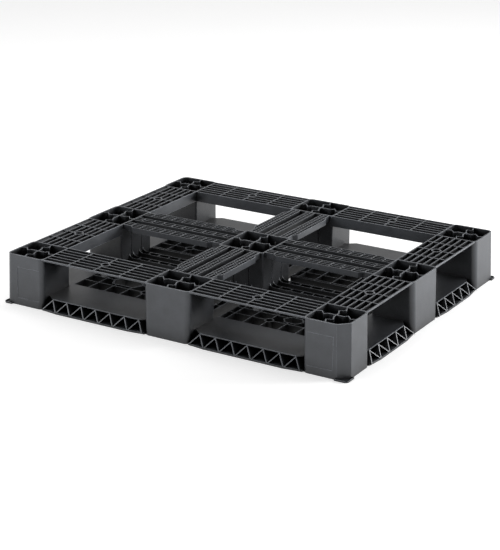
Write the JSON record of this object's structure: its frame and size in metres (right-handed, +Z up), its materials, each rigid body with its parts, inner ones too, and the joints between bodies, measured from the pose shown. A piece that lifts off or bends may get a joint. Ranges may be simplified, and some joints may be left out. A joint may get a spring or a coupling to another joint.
{
  "type": "plastic pallet",
  "caption": "Heavy plastic pallet with open-top posts, ribbed deck panels, lattice slats, fork openings on all sides and a full perimeter base.",
  "frame": {"origin": "on the floor under the middle of the pallet", "axes": "+X along the long side, left to right seen from the front; +Y from front to back; +Z up"},
  "size_m": [1.2, 1, 0.16],
  "materials": {
    "moulded_plastic": "satin moulded"
  },
  "bodies": {
    "root": {"base_grid_back_left": "moulded_plastic", "base_grid_back_right": "moulded_plastic", "base_grid_front_left": "moulded_plastic", "base_grid_front_right": "moulded_plastic", "base_slats_back": "moulded_plastic", "base_slats_front": "moulded_plastic", "base_slats_left": "moulded_plastic", "base_slats_right": "moulded_plastic", "deck_panel_back_left": "moulded_plastic", "deck_panel_back_right": "moulded_plastic", "deck_panel_front_left": "moulded_plastic", "deck_panel_front_right": "moulded_plastic", "deck_panel_left_back": "moulded_plastic", "deck_panel_left_front": "moulded_plastic", "deck_panel_right_back": "moulded_plastic", "deck_panel_right_front": "moulded_plastic", "deck_slat_back_left": "moulded_plastic", "deck_slat_back_middle": "moulded_plastic", "deck_slat_back_right": "moulded_plastic", "deck_slat_front_left": "moulded_plastic", "deck_slat_front_middle": "moulded_plastic", "deck_slat_front_right": "moulded_plastic", "deck_slat_left_back": "moulded_plastic", "deck_slat_left_front": "moulded_plastic", "deck_slat_left_middle": "moulded_plastic", "deck_slat_right_back": "moulded_plastic", "deck_slat_right_front": "moulded_plastic", "deck_slat_right_middle": "moulded_plastic", "post_back_left": "moulded_plastic", "post_back_middle": "moulded_plastic", "post_back_right": "moulded_plastic", "post_centre": "moulded_plastic", "post_front_left": "moulded_plastic", "post_front_middle": "moulded_plastic", "post_front_right": "moulded_plastic", "post_left_middle": "moulded_plastic", "post_right_middle": "moulded_plastic", "skid_back_left": "moulded_plastic", "skid_back_right": "moulded_plastic", "skid_front_left": "moulded_plastic", "skid_front_right": "moulded_plastic", "skid_left_back": "moulded_plastic", "skid_left_front": "moulded_plastic", "skid_right_back": "moulded_plastic", "skid_right_front": "moulded_plastic", "skid_web_back_left": "moulded_plastic", "skid_web_back_right": "moulded_plastic", "skid_web_front_left": "moulded_plastic", "skid_web_front_right": "moulded_plastic", "skid_web_left_back": "moulded_plastic", "skid_web_left_front": "moulded_plastic", "skid_web_right_back": "moulded_plastic", "skid_web_right_front": "moulded_plastic", "toe_back_left": "moulded_plastic", "toe_back_right": "moulded_plastic", "toe_front_left": "moulded_plastic", "toe_front_right": "moulded_plastic"}
  },
  "joints": []
}
